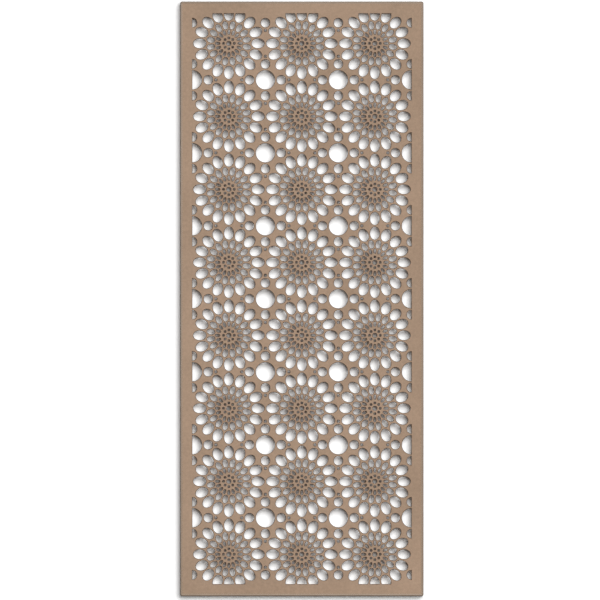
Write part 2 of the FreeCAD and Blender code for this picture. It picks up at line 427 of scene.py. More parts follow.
@dataclass(frozen=True)
class PlanedHardwood:
    """Straight grained hardwood, planed along its length and sealed."""

    name: str
    pale: str
    dark: str
    streak_mm: float
    pore_mm: float
    roughness: float
    unevenness: float = 0.1
    pore_share: float = 0.5
    stretch: float = 0.02

    def material(self, grain: Axis) -> Material:
        """Builds the wood's finish.

        Args:
            grain: The axis along which the grain runs.

        Returns:
            The material.
        """
        # Growth rings cut along their length: broad soft streaks, fine pores and a low satin sheen.
        # The pores are drawn several times as wide as real ones, so that the render shows them.
        surface = Surface(f"{self.name}_{grain.name.lower()}")
        tree = surface.tree
        along = [self.stretch if axis == grain.value else 1.0 for axis in "XYZ"]
        drawn_out = add_node(tree, "ShaderNodeMapping", {"Vector": surface.place, "Scale": along})
        streak = add_node(
            tree, "ShaderNodeTexNoise",
            {"Vector": drawn_out, "Scale": 1 / (self.streak_mm * MM), "Detail": 4.0, "Distortion": 0.4},
        )
        pore = add_node(
            tree, "ShaderNodeTexNoise",
            {"Vector": drawn_out, "Scale": 1 / (self.pore_mm * MM), "Detail": 2.0},
        ).outputs["Fac"]
        blend = add_node(
            tree, "ShaderNodeMath", {0: pore, 1: self.pore_share, 2: streak.outputs["Fac"]},
            operation="MULTIPLY_ADD",
        )
        tone = add_node(tree, "ShaderNodeMapRange", {"Value": blend, "From Min": 0.5, "From Max": 1.0})
        surface.roughen(pore, self.roughness, -self.unevenness)
        return surface.dress(tone.outputs[0], self.dark, self.pale, pore, strength=0.3, relief_mm=0.08)


@dataclass(frozen=True)
class WornMetal:
    """A small metal fixing with a thin, slightly uneven surface."""

    name: str
    pale: str
    dark: str
    patch_mm: float
    turning_mm: float
    roughness: float
    axis: Axis
    unevenness: float = 0.1

    def material(self) -> Material:
        """Builds the metal's finish.

        Returns:
            The material.
        """
        # Bright metal with faint rings from the tool and cloudy patches, so its gleam breaks up.
        # The rings are drawn several times as wide as a real tool leaves them, so that they show close up.
        surface = Surface(self.name)
        tree = surface.tree
        surface.shader["Metallic"].default_value = 1.0
        patch = add_node(
            tree, "ShaderNodeTexNoise",
            {"Vector": surface.place, "Scale": 1 / (self.patch_mm * MM), "Detail": 3.0},
        ).outputs["Fac"]
        turning = add_node(
            tree, "ShaderNodeTexWave",
            {"Vector": surface.place, "Scale": WAVE_STEP / (self.turning_mm * MM), "Distortion": 1.0},
            wave_type="BANDS", bands_direction=self.axis.value,
        ).outputs["Fac"]
        surface.roughen(patch, self.roughness, self.unevenness)
        return surface.dress(patch, self.dark, self.pale, turning, strength=0.2, relief_mm=0.02)


@dataclass(frozen=True)
class StagePaint:
    """Matt white paint of the wall and floor, which shows on its front alone."""

    name: str
    whiteness: float = 1.28
    touch_mm: float = 5.0

    def material(self) -> Material:
        """Builds the paint.

        Returns:
            The material.
        """
        # Flat white that takes the panel's shadow, bright enough for the open wall to read as pure white.
        # From behind it is clear and a lamp shines through it, but that light doesn't come back to it.
        # What all but touches it reflects the room beyond it, and not the dark gap between.
        material = bpy.data.materials.new(self.name)
        material.use_nodes = True
        tree = material.node_tree
        tree.nodes.clear()
        path = add_node(tree, "ShaderNodeLightPath")
        behind = add_node(tree, "ShaderNodeNewGeometry").outputs["Backfacing"]
        touched = add_node(
            tree, "ShaderNodeMath", {0: path.outputs["Ray Length"], 1: self.touch_mm * MM},
            operation="LESS_THAN",
        )
        passed = add_node(tree, "ShaderNodeMath", {0: behind, 1: touched}, operation="MAXIMUM")
        shown = add_node(
            tree, "ShaderNodeMath", {0: seen_rays(tree, path), 1: passed},
            operation="SUBTRACT", use_clamp=True,
        )
        bounced = add_node(
            tree, "ShaderNodeMath", {0: path.outputs["Diffuse Depth"], 1: 0.5}, operation="GREATER_THAN",
        )
        blocked = add_node(
            tree, "ShaderNodeMath", {0: path.outputs["Is Shadow Ray"], 1: bounced}, operation="MULTIPLY",
        )
        solid = add_node(tree, "ShaderNodeMath", {0: shown, 1: blocked}, operation="MAXIMUM")
        white = (self.whiteness, self.whiteness, self.whiteness, 1.0)
        paint = add_node(tree, "ShaderNodeBsdfDiffuse", {"Color": white})
        clear = add_node(tree, "ShaderNodeBsdfTransparent")
        surface = add_node(tree, "ShaderNodeMixShader", {0: solid, 1: clear, 2: paint})
        add_node(tree, "ShaderNodeOutputMaterial", {"Surface": surface})
        return material


@dataclass(frozen=True)
class HoleRing:
    """Holes of one size, evenly spaced on a circle. Sizes are in millimetres, and the turn in spaces."""

    name: str
    sides: int
    half_length: float
    half_width: float
    count: int = 1
    circle: float = 0.0
    turn: float = 0.0

    def inputs(self) -> dict[str, str]:
        """Gives the socket type of each of the ring's tree inputs by name."""
        return {f"{self.name} circle": "Float", f"{self.name} half size": "Vector"}

    def values(self) -> dict[str, object]:
        """Gives the value of each of these inputs, in metres."""
        half_size = (self.half_length * MM, self.half_width * MM, 0.0)
        return dict(zip(self.inputs(), (self.circle * MM, half_size)))


@dataclass
class PiercedBoard:
    """The pierced board: a plain margin round a field of rosettes, roundels and dots.

    Sizes are in millimetres, and repeat those of the solid board.
    """

    margin: float = 45.0
    pitch: float = 270.0
    web: float = 7.0
    ring_gap: float = 2.0
    ring_growth: float = 1.62
    petals: int = 16
    petal_sides: tuple[int, int, int] = (24, 14, 12)
    seeds: int = 8
    seed_sides: int = 8
    eye: float = 16.0
    eye_sides: int = 12
    roundel: float = 70.0
    roundel_sides: int = 40
    dot_sides: tuple[int, int] = (24, 10)
    least_hole: float = 8.0
    least_cut: float = 12.0
    arris: float = 1.6
    face_limit: float = 0.9
    face: LacqueredFibreboard = LacqueredFibreboard()
    walls: CutFibreboard = CutFibreboard()

    def rosette_rings(self) -> list[HoleRing]:
        """Works out the rings of one rosette.

        Returns:
            The eye, three rings of petals that shrink inwards, and the seeds round the eye.
        """
        rings = [HoleRing("eye", self.eye_sides, self.eye / 2, self.eye / 2)]
        outer = self.pitch / 2
        for ring, sides in enumerate(self.petal_sides):
            inner = outer / self.ring_growth
            tip = outer - (self.web if ring == 0 else self.ring_gap) / 2
            root = inner + self.ring_gap / 2
            circle = (tip + root) / 2
            half_width = circle * math.sin(math.pi / self.petals) - self.web / 2
            half_length = (tip - root) / 2
            name = f"petals {ring + 1}"
            rings.append(HoleRing(name, sides, half_length, half_width, self.petals, circle, ring % 2 / 2))
            outer = inner
        circle = (self.eye / 2 + outer) / 2
        seed = circle * math.sin(math.pi / self.seeds) - self.web / 2
        rings.append(HoleRing("seeds", self.seed_sides, seed, seed, self.seeds, circle))
        return rings

    def roundel_rings(self) -> list[HoleRing]:
        """Works out the holes between four rosettes.

        Returns:
            The roundel, and the rings of dots that fill the four narrowing arms.
        """
        half_pitch = self.pitch / 2
        clear = half_pitch + self.web / 2
        radius = self.roundel / 2
        rings = [HoleRing("roundel", self.roundel_sides, radius, radius)]
        edge = radius + self.web
        while edge < half_pitch:
            room = half_pitch - edge
            dot = (room ** 2 + half_pitch ** 2 - clear ** 2) / (2 * (room + clear))
            if dot < self.least_hole / 2:
                break
            name = f"dots {len(rings)}"
            sides = self.dot_sides[0] if dot > self.web else self.dot_sides[1]
            rings.append(HoleRing(name, sides, dot, dot, count=4, circle=edge + dot))
            edge += 2 * dot + self.web
        return rings

    def ring_tree(self) -> NodeTree:
        """Builds the tree that sets out one ring of hole centres.

        Returns:
            The tree. Its points carry each hole's turn, kind and reach to the side and up.
        """
        inputs = {"Count": "Int", "Circle": "Float", "Half Size": "Vector", "Turn": "Float", "Kind": "Int"}
        tree, given, result = geometry_tree("ring of holes", inputs)
        index = add_node(tree, "GeometryNodeInputIndex")
        step = add_node(tree, "ShaderNodeMath", {0: math.tau, 1: given["Count"]}, operation="DIVIDE")
        steps = add_node(tree, "ShaderNodeMath", {0: index, 1: given["Turn"]}, operation="ADD")
        angle = add_node(tree, "ShaderNodeMath", {0: step, 1: steps}, operation="MULTIPLY")
        cosine = add_node(tree, "ShaderNodeMath", {0: angle}, operation="COSINE")
        sine = add_node(tree, "ShaderNodeMath", {0: angle}, operation="SINE")
        heading = add_node(tree, "ShaderNodeCombineXYZ", {"X": cosine, "Y": sine})
        centre = add_node(
            tree, "ShaderNodeVectorMath", {0: heading, "Scale": given["Circle"]}, operation="SCALE",
        )
        axes = add_node(tree, "ShaderNodeSeparateXYZ", {0: given["Half Size"]}).outputs
        swapped = add_node(tree, "ShaderNodeCombineXYZ", {"X": axes["Y"], "Y": axes["X"]})
        reaches = []
        for half in (given["Half Size"], swapped):
            scaled = add_node(tree, "ShaderNodeVectorMath", {0: heading, 1: half}, operation="MULTIPLY")
            length = add_node(tree, "ShaderNodeVectorMath", {0: scaled}, operation="LENGTH")
            reaches.append(length.outputs["Value"])
        reach = add_node(tree, "ShaderNodeCombineXYZ", {"X": reaches[0], "Y": reaches[1]})
        points = add_node(
            tree, "GeometryNodePoints", {"Count": given["Count"], "Position": centre},
        ).outputs[0]
        for name, kind, value in (
            ("turn", "FLOAT", angle), ("kind", "INT", given["Kind"]), ("reach", "FLOAT_VECTOR", reach),
        ):
            points = add_node(
                tree, "GeometryNodeStoreNamedAttribute",
                {"Geometry": points, "Name": name, "Value": value}, data_type=kind, domain="POINT",
            ).outputs[0]
        tree.links.new(points, result.inputs[0])
        return tree

    def flare_tree(self) -> NodeTree:
        """Builds the tree that turns a prism of three levels into a cutter with an eased front mouth.

        Returns:
            The tree. The prism comes in 2 across, with its levels at -1, 0 and 1.
        """
        inputs = {"Prism": "Geometry", "Half Size": "Vector", "Half Depth": "Float", "Arris": "Float"}
        tree, given, result = geometry_tree("eased cutter", inputs)
        place = add_node(tree, "GeometryNodeInputPosition")
        level = add_node(tree, "ShaderNodeSeparateXYZ", {0: place}).outputs["Z"]
        front = add_node(tree, "ShaderNodeMath", {0: level, 1: 0.0}, operation="MAXIMUM")
        rear = add_node(tree, "ShaderNodeMath", {0: level, 1: 0.0}, operation="MINIMUM")
        twice = add_node(tree, "ShaderNodeMath", {0: given["Arris"], 1: 2.0}, operation="MULTIPLY")
        spread = add_node(tree, "ShaderNodeMath", {0: front, 1: twice}, operation="MULTIPLY")
        depth = add_node(tree, "ShaderNodeMath", {0: given["Half Depth"], 1: 2.0}, operation="MULTIPLY")
        straight = add_node(
            tree, "ShaderNodeMath", {0: given["Half Depth"], 1: given["Arris"]}, operation="SUBTRACT",
        )
        rise = add_node(tree, "ShaderNodeMath", {0: straight, 1: spread}, operation="ADD")
        new_level = add_node(
            tree, "ShaderNodeMath", {0: rear, 1: depth, 2: rise}, operation="MULTIPLY_ADD",
        )
        grown = add_node(tree, "ShaderNodeVectorMath", {0: given["Half Size"], 1: spread}, operation="ADD")
        flat = add_node(tree, "ShaderNodeVectorMath", {0: place, 1: (1, 1, 0)}, operation="MULTIPLY")
        outline = add_node(tree, "ShaderNodeVectorMath", {0: flat, 1: grown}, operation="MULTIPLY")
        lift = add_node(tree, "ShaderNodeCombineXYZ", {"Z": new_level})
        moved = add_node(tree, "ShaderNodeVectorMath", {0: outline, 1: lift}, operation="ADD")
        cutter = add_node(tree, "GeometryNodeSetPosition", {"Geometry": given["Prism"], "Position": moved})
        tree.links.new(cutter.outputs[0], result.inputs[0])
        return tree

    def spread_tree(self, ring_tree: NodeTree, rings: list[HoleRing], first: int) -> NodeTree:
        """Builds the tree that repeats a group of rings over a square grid.

        Args:
            ring_tree: The tree that sets out one ring.
            rings: The rings of one group.
            first: The kind number of the first ring.

        Returns:
            The tree, which gives the hole centres as points.
        """
        inputs = {"Pitch": "Float", "Columns": "Int", "Rows": "Int"}
        for ring in rings:
            inputs.update(ring.inputs())
        tree, given, result = geometry_tree(f"grid of {rings[0].name}s", inputs)
        group = add_node(tree, "GeometryNodeJoinGeometry")
        for kind, ring in enumerate(rings, first):
            points = add_node(
                tree, "GeometryNodeGroup",
                {
                    "Count": ring.count, "Turn": ring.turn, "Kind": kind,
                    "Circle": given[f"{ring.name} circle"], "Half Size": given[f"{ring.name} half size"],
                },
                node_tree=ring_tree,
            )
            tree.links.new(points.outputs[0], group.inputs[0])
        single = add_node(tree, "GeometryNodeGeometryToInstance", {0: group})
        spans = []
        for count in (given["Columns"], given["Rows"]):
            gaps = add_node(tree, "ShaderNodeMath", {0: count, 1: 1.0}, operation="SUBTRACT")
            span = add_node(tree, "ShaderNodeMath", {0: gaps, 1: given["Pitch"]}, operation="MULTIPLY")
            spans.append(span)
        grid = add_node(
            tree, "GeometryNodeMeshGrid",
            {
                "Size X": spans[0], "Size Y": spans[1],
                "Vertices X": given["Columns"], "Vertices Y": given["Rows"],
            },
        )
        copies = add_node(tree, "GeometryNodeInstanceOnPoints", {"Points": grid, "Instance": single})
        points = add_node(tree, "GeometryNodeRealizeInstances", {0: copies})
        tree.links.new(points.outputs[0], result.inputs[0])
        return tree

    def centres(
        self, tree: NodeTree, given: dict[str, NodeSocket],
        rosette: list[HoleRing], roundel: list[HoleRing],
    ) -> NodeSocket:
        """Sets out the centres of all holes but those of which the border would leave a sliver.

        Args:
            tree: The board's tree.
            given: Its input sockets by name.
            rosette: The rings of one rosette.
            roundel: The rings between four rosettes.

        Returns:
            The centres as points, with what the ring's tree stores on them.
        """
        ring_tree = self.ring_tree()
        centres = add_node(tree, "GeometryNodeJoinGeometry")
        for group, first, more in ((rosette, 0, 0), (roundel, len(rosette), 1)):
            sizes = {"Pitch": given["Pitch"]}
            for count in ("Columns", "Rows"):
                sizes[count] = add_node(tree, "ShaderNodeMath", {0: given[count], 1: more}, operation="ADD")
            for ring in group:
                sizes.update({size: given[size] for size in ring.inputs()})
            spread_tree = self.spread_tree(ring_tree, group, first)
            spread = add_node(tree, "GeometryNodeGroup", sizes, node_tree=spread_tree)
            tree.links.new(spread.outputs[0], centres.inputs[0])
        reach = add_node(
            tree, "GeometryNodeInputNamedAttribute", {"Name": "reach"}, data_type="FLOAT_VECTOR",
        )
        place = add_node(tree, "GeometryNodeInputPosition")
        apart = add_node(tree, "ShaderNodeVectorMath", {0: place}, operation="ABSOLUTE")
        limit = add_node(tree, "ShaderNodeVectorMath", {0: given["Field"], 1: reach}, operation="ADD")
        inside = add_node(tree, "ShaderNodeVectorMath", {0: limit, 1: apart}, operation="SUBTRACT")
        axes = add_node(tree, "ShaderNodeSeparateXYZ", {0: inside}).outputs
        least = add_node(tree, "ShaderNodeMath", {0: axes["X"], 1: axes["Y"]}, operation="MINIMUM")
        sliver = add_node(tree, "ShaderNodeMath", {0: least, 1: given["Least cut"]}, operation="LESS_THAN")
        kept = add_node(
            tree, "GeometryNodeDeleteGeometry", {"Geometry": centres, "Selection": sliver}, domain="POINT",
        )
        return kept.outputs[0]

    def cutters(
        self, tree: NodeTree, given: dict[str, NodeSocket], rings: list[HoleRing], centres: NodeSocket,
    ) -> NodeSocket:
        """Puts a cutter on each centre and trims all of them along the border.

        Args:
            tree: The board's tree.
            given: Its input sockets by name.
            rings: All rings, in the order of their kind numbers.
            centres: The centres of the holes.

        Returns:
            The trimmed cutters.
        """
        flare_tree = self.flare_tree()
        depth = add_node(tree, "ShaderNodeSeparateXYZ", {0: given["Board"]}).outputs["Z"]
        half_depth = add_node(tree, "ShaderNodeMath", {0: depth, 1: 0.5}, operation="MULTIPLY")
        eased = {"Half Depth": half_depth, "Arris": given["Arris"]}
        turn = add_node(tree, "GeometryNodeInputNamedAttribute", {"Name": "turn"}, data_type="FLOAT")
        euler = add_node(tree, "ShaderNodeCombineXYZ", {"Z": turn})
        rotation = add_node(tree, "FunctionNodeEulerToRotation", {0: euler})
        kind = add_node(tree, "GeometryNodeInputNamedAttribute", {"Name": "kind"}, data_type="INT")
        cutters = add_node(tree, "GeometryNodeJoinGeometry")
        for number, ring in enumerate(rings):
            prism = add_node(
                tree, "GeometryNodeMeshCylinder",
                {"Vertices": ring.sides, "Side Segments": 2, "Radius": 1.0, "Depth": 2.0},
            )
            form = {"Prism": prism.outputs["Mesh"], "Half Size": given[f"{ring.name} half size"]}
            cutter = add_node(tree, "GeometryNodeGroup", eased | form, node_tree=flare_tree)
            chosen = add_node(
                tree, "FunctionNodeCompare", {2: kind, 3: number}, data_type="INT", operation="EQUAL",
            )
            copies = add_node(
                tree, "GeometryNodeInstanceOnPoints",
                {"Points": centres, "Selection": chosen, "Instance": cutter, "Rotation": rotation},
            )
            tree.links.new(copies.outputs[0], cutters.inputs[0])
        holes = add_node(tree, "GeometryNodeRealizeInstances", {0: cutters})
        block = add_node(tree, "GeometryNodeMeshCube", {"Size": (2, 2, 2), "Vertices Z": 3})
        border = {"Prism": block, "Half Size": given["Field"]}
        field = add_node(tree, "GeometryNodeGroup", eased | border, node_tree=flare_tree)
        trimmed = add_node(
            tree, "GeometryNodeMeshBoolean", {"Mesh 2": holes}, operation="INTERSECT", solver="MANIFOLD",
        )
        tree.links.new(field.outputs[0], trimmed.inputs["Mesh 2"])
        return trimmed.outputs[0]

    def board_tree(self, rosette: list[HoleRing], roundel: list[HoleRing]) -> NodeTree:
        """Builds the tree that pierces the board and dresses its faces and hole walls.

        Args:
            rosette: The rings of one rosette.
            roundel: The rings between four rosettes.

        Returns:
            The tree.
        """
        inputs = {
            "Board": "Vector", "Middle": "Vector", "Field": "Vector", "Arris": "Float", "Pitch": "Float",
            "Columns": "Int", "Rows": "Int", "Least cut": "Float",
        }
        rings = rosette + roundel
        for ring in rings:
            inputs.update(ring.inputs())
        tree, given, result = geometry_tree("pierced board", inputs)
        centres = self.centres(tree, given, rosette, roundel)
        cutters = self.cutters(tree, given, rings, centres)
        blank = add_node(tree, "GeometryNodeMeshCube", {"Size": given["Board"]})
        pierced = add_node(
            tree, "GeometryNodeMeshBoolean", {"Mesh 1": blank, "Mesh 2": cutters},
            operation="DIFFERENCE", solver="MANIFOLD",
        )
        stood = add_node(
            tree, "GeometryNodeTransform",
            {
                "Geometry": finished_cut(tree, pierced.outputs[0]), "Translation": given["Middle"],
                "Rotation": (math.radians(90), 0, 0),
            },
        )
        whole = add_node(tree, "GeometryNodeRealizeInstances", {0: stood})
        faced = add_node(
            tree, "GeometryNodeSetMaterial", {"Geometry": whole, "Material": self.face.material()},
        )
        normal = add_node(tree, "GeometryNodeInputNormal")
        facing = add_node(tree, "ShaderNodeSeparateXYZ", {0: normal})
        slope = add_node(tree, "ShaderNodeMath", {0: facing.outputs["Y"]}, operation="ABSOLUTE")
        upright = add_node(tree, "ShaderNodeMath", {0: slope, 1: self.face_limit}, operation="LESS_THAN")
        dressed = add_node(
            tree, "GeometryNodeSetMaterial",
            {"Geometry": faced, "Selection": upright, "Material": self.walls.material()},
        )
        tree.links.new(dressed.outputs[0], result.inputs[0])
        return tree

    def build(self, panel: tuple[Vector, Vector]) -> None:
        """Builds and dresses the board.

        Args:
            panel: Lowest and highest corner of the whole panel.
        """
        low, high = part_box("pierced_sheet")
        size = high - low
        overall = panel[1] - panel[0]
        rosette = self.rosette_rings()
        roundel = self.roundel_rings()
        half_width = overall.x / 2 - self.margin * MM
        half_height = overall.z / 2 - self.margin * MM
        values = {
            "Board": (size.x, size.z, size.y),
            "Middle": tuple((low + high) / 2),
            "Field": (half_width, half_height, 0.0),
            "Arris": self.arris * MM,
            "Pitch": self.pitch * MM,
            "Columns": 2 * math.ceil(half_width / (self.pitch * MM) - 0.5) + 1,
            "Rows": 2 * math.ceil(half_height / (self.pitch * MM)),
            "Least cut": self.least_cut * MM,
        }
        for ring in rosette + roundel:
            values.update(ring.values())
        board = grown_piece("pierced_board", self.board_tree(rosette, roundel), values)
        settle(board, "board", "pierced_sheet")


@dataclass
class EdgeLippings:
    """The four mitred strips round the panel's edge."""

    ease_mm: float = 0.35
    flat_limit: float = 0.9995
    wood: PlanedHardwood = PlanedHardwood(
        "toned_beech_lipping", pale="#A6917D", dark="#947F6A", streak_mm=3.0, pore_mm=0.7, roughness=0.5,
    )
    # The arrises and sides take a darker tone. This is painted shade: a dark outline that stands in for the
    # shade on the panel's eased edges.
    shaded_arris: PlanedHardwood = PlanedHardwood(
        "beech_arris_painted_shade", pale="#7A6653", dark="#695644", streak_mm=3.0, pore_mm=0.7, roughness=0.45,
    )

    def build(self, nodes: dict[str, Object]) -> None:
        """Builds and dresses the strips.

        Args:
            nodes: The CAD nodes by name.
        """
        for grain, sides in ((Axis.UPRIGHT, ("left", "right")), (Axis.ACROSS, ("top", "bottom"))):
            finishes = (self.wood.material(grain), self.shaded_arris.material(grain))
            for side in sides:
                strip = eased_copy(nodes[f"{side}_lipping"], f"lipping_{side}", self.ease_mm * MM)
                for finish in finishes:
                    strip.data.materials.append(finish)
                # Every face that doesn't look straight ahead or straight back gets the painted shade.
                for face in strip.data.polygons:
                    face.material_index = int(abs(face.normal.y) < self.flat_limit)
                settle(strip, "lipping", f"{side}_lipping")


@dataclass
class BackFrame:
    """The half-lapped frame behind the margin, with the dowel pins of its corners."""

    ease_mm: float = 0.7
    pin_ease_mm: float = 0.4
    wood: PlanedHardwood = PlanedHardwood(
        "planed_tulipwood", pale="#B79C7B", dark="#98805F", streak_mm=6.0, pore_mm=1.2, roughness=0.55,
    )
    dowel: PlanedHardwood = PlanedHardwood(
        "beech_dowel", pale="#C9A67C", dark="#A98559", streak_mm=2.0, pore_mm=0.5, roughness=0.6,
    )

    def build(self, nodes: dict[str, Object]) -> None:
        """Builds and dresses stiles, rails and pins.

        Args:
            nodes: The CAD nodes by name.
        """
        upright = self.wood.material(Axis.UPRIGHT)
        across = self.wood.material(Axis.ACROSS)
        members = {"left_stile": upright, "right_stile": upright, "top_rail": across, "bottom_rail": across}
        for node, finish in members.items():
            side, kind = node.split("_")
            member = eased_copy(nodes[node], f"{kind}_{side}", self.ease_mm * MM)
            member.data.materials.append(finish)
            settle(member, "frame", node)
        end_grain = self.dowel.material(Axis.THROUGH)
        for end in ("top", "bottom"):
            for side in ("left", "right"):
                pins = eased_copy(nodes[f"{end}_{side}_pins"], f"pins_{end}_{side}", self.pin_ease_mm * MM)
                pins.data.materials.append(end_grain)
                settle(pins, "pins", f"{end}_{side}_pins")


class TurnedRod:
    """A round rod inside a geometry node tree, from its head at the origin down along Z."""

    def __init__(self, tree: NodeTree, sides: int, rings: int, length: NodeSocket) -> None:
        """Starts the rod as a plain cylinder.

        Args:
            tree: The tree that gets the rod.
            sides: Number of faces round it.
            rings: Number of rings of faces along it.
            length: Its length.
        """
        self.tree = tree
        self.blank = add_node(
            tree, "GeometryNodeMeshCylinder",
            {"Vertices": sides, "Side Segments": rings, "Radius": 1.0, "Depth": 1.0},
        ).outputs["Mesh"]
        self.place = add_node(tree, "GeometryNodeInputPosition").outputs[0]
        self.axes = add_node(tree, "ShaderNodeSeparateXYZ", {0: self.place}).outputs
        share = add_node(tree, "ShaderNodeMath", {0: 0.5, 1: self.axes["Z"]}, operation="SUBTRACT")
        self.drop = add_node(
            tree, "ShaderNodeMath", {0: share, 1: length}, operation="MULTIPLY",
        ).outputs[0]

    def thread(self, pitch: NodeSocket, depth: NodeSocket, start: NodeSocket | float) -> NodeSocket:
        """Works out how deep a thread is cut at each point of the rod.

        Args:
            pitch: The thread's pitch.
            depth: The depth of its groove.
            start: The distance from the head at which it starts, below 0 for the whole rod.

        Returns:
            The depth of the cut, which is 0 on the thread's crest.
        """
        tree = self.tree
        axes = self.axes
        angle = add_node(tree, "ShaderNodeMath", {0: axes["Y"], 1: axes["X"]}, operation="ARCTAN2")
        turns = add_node(tree, "ShaderNodeMath", {0: angle, 1: math.tau}, operation="DIVIDE")
        rounds = add_node(tree, "ShaderNodeMath", {0: self.drop, 1: pitch}, operation="DIVIDE")
        helix = add_node(tree, "ShaderNodeMath", {0: turns, 1: rounds}, operation="ADD")
        ridge = add_node(tree, "ShaderNodeMath", {0: helix, 1: 0.5}, operation="PINGPONG")
        twice = add_node(tree, "ShaderNodeMath", {0: ridge, 1: 2.0}, operation="MULTIPLY")
        started = add_node(tree, "ShaderNodeMath", {0: self.drop, 1: start}, operation="GREATER_THAN")
        most = add_node(tree, "ShaderNodeMath", {0: started, 1: depth}, operation="MULTIPLY")
        cut = add_node(tree, "ShaderNodeMath", {0: twice, 1: most}, operation="MULTIPLY")
        return cut.outputs[0]

    def turned(self, radius: NodeSocket) -> NodeSocket:
        """Turns the rod to its form.

        Args:
            radius: The radius at each point.

        Returns:
            The finished mesh.
        """
        tree = self.tree
        flat = add_node(tree, "ShaderNodeVectorMath", {0: self.place, 1: (1, 1, 0)}, operation="MULTIPLY")
        wide = add_node(tree, "ShaderNodeVectorMath", {0: flat, "Scale": radius}, operation="SCALE")
        down = add_node(tree, "ShaderNodeMath", {0: self.drop, 1: -1.0}, operation="MULTIPLY")
        low = add_node(tree, "ShaderNodeCombineXYZ", {"Z": down})
        moved = add_node(tree, "ShaderNodeVectorMath", {0: wide, 1: low}, operation="ADD")
        form = add_node(tree, "GeometryNodeSetPosition", {"Geometry": self.blank, "Position": moved})
        return form.outputs[0]


@dataclass
class FrameScrews:
    """The countersunk wood screws that hold the board to the frame. Sizes are in millimetres."""

    head: float = 8.0
    shank: float = 4.0
    point: float = 6.0
    tip: float = 0.4
    thinnest: float = 0.3
    thread_pitch: float = 1.8
    thread_depth: float = 0.6
    plain_shank: float = 10.0
    drive_width: float = 1.2
    drive_span: float = 4.2
    drive_depth: float = 1.5
    zinc: WornMetal = WornMetal(
        "zinc_plated_steel", pale="#C6C7C6", dark="#A9ABAD", patch_mm=2.5, turning_mm=0.4,
        roughness=0.38, axis=Axis.THROUGH,
    )

    def sizes(self) -> dict[str, float]:
        """Works out what all screws share.

        Returns:
            Radii, lengths and depths in metres, by the names of the tree's inputs.
        """
        across = {"Head": self.head, "Shank": self.shank, "Tip": self.tip, "Thinnest": self.thinnest}
        whole = {
            "Point": self.point, "Thread Pitch": self.thread_pitch, "Thread Depth": self.thread_depth,
            "Plain Shank": self.plain_shank, "Drive Width": self.drive_width,
            "Drive Span": self.drive_span, "Drive Depth": self.drive_depth,
        }
        sizes = {name: size / 2 * MM for name, size in across.items()}
        sizes.update({name: size * MM for name, size in whole.items()})
        return sizes

    def tree(self, finish: Material) -> NodeTree:
        """Builds the tree of one row of screws, driven towards -Y.

        Args:
            finish: The screws' finish.

        Returns:
            The tree.
        """
        inputs = {"Count": "Int", "First": "Vector", "Step": "Vector", "Length": "Float"}
        inputs.update(dict.fromkeys(self.sizes(), "Float"))
        tree, given, result = geometry_tree("row of screws", inputs)
        rod = TurnedRod(tree, sides=24, rings=60, length=given["Length"])
        cone = add_node(tree, "ShaderNodeMath", {0: given["Head"], 1: rod.drop}, operation="SUBTRACT")
        stem = add_node(tree, "ShaderNodeMath", {0: cone, 1: given["Shank"]}, operation="MAXIMUM")
        left = add_node(tree, "ShaderNodeMath", {0: given["Length"], 1: rod.drop}, operation="SUBTRACT")
        slope = add_node(tree, "ShaderNodeMath", {0: given["Shank"], 1: given["Point"]}, operation="DIVIDE")
        tip = add_node(
            tree, "ShaderNodeMath", {0: left, 1: slope, 2: given["Tip"]}, operation="MULTIPLY_ADD",
        )
        outline = add_node(tree, "ShaderNodeMath", {0: stem, 1: tip}, operation="MINIMUM")
        groove = rod.thread(given["Thread Pitch"], given["Thread Depth"], given["Plain Shank"])
        cut = add_node(tree, "ShaderNodeMath", {0: outline, 1: groove}, operation="SUBTRACT")
        radius = add_node(tree, "ShaderNodeMath", {0: cut, 1: given["Thinnest"]}, operation="MAXIMUM")
        driven = add_node(
            tree, "GeometryNodeMeshBoolean", {"Mesh 1": rod.turned(radius.outputs[0])},
            operation="DIFFERENCE", solver="MANIFOLD",
        )
        deep = add_node(tree, "ShaderNodeMath", {0: given["Drive Depth"], 1: 2.0}, operation="MULTIPLY")
        for x, y in (("Drive Span", "Drive Width"), ("Drive Width", "Drive Span")):
            size = add_node(tree, "ShaderNodeCombineXYZ", {"X": given[x], "Y": given[y], "Z": deep})
            blade = add_node(tree, "GeometryNodeMeshCube", {"Size": size})
            tree.links.new(blade.outputs[0], driven.inputs["Mesh 2"])
        aimed = add_node(
            tree, "GeometryNodeTransform",
            {"Geometry": finished_cut(tree, driven.outputs[0]), "Rotation": (math.radians(-90), 0, 0)},
        )
        row = add_node(
            tree, "GeometryNodeMeshLine",
            {"Count": given["Count"], "Start Location": given["First"], "Offset": given["Step"]},
        )
        chance = add_node(tree, "FunctionNodeRandomValue", {"Max": math.tau, "Seed": 7}, data_type="FLOAT")
        euler = add_node(tree, "ShaderNodeCombineXYZ", {"Y": chance.outputs["Value"]})
        stop = add_node(tree, "FunctionNodeEulerToRotation", {0: euler})
        copies = add_node(
            tree, "GeometryNodeInstanceOnPoints", {"Points": row, "Instance": aimed, "Rotation": stop},
        )
        whole = add_node(tree, "GeometryNodeRealizeInstances", {0: copies})
        dressed = add_node(tree, "GeometryNodeSetMaterial", {"Geometry": whole, "Material": finish})
        tree.links.new(dressed.outputs[0], result.inputs[0])
        return tree

    def build(self) -> None:
        """Builds the four rows of screws."""
        tree = self.tree(self.zinc.material())
        sizes = self.sizes()
        head = sizes["Head"]
        counts = {"left_stile": 7, "right_stile": 7, "top_rail": 2, "bottom_rail": 2}
        for member, count in counts.items():
            low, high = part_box(f"{member}_screws")
            first = Vector((low.x + head, high.y, low.z + head))
            last = Vector((high.x - head, high.y, high.z - head))
            step = (last - first) / (count - 1)
            values = {"Count": count, "First": tuple(first), "Step": tuple(step), "Length": high.y - low.y}
            row = grown_piece(f"screws_{member}", tree, values | sizes)
            settle(row, "screws", f"{member}_screws")


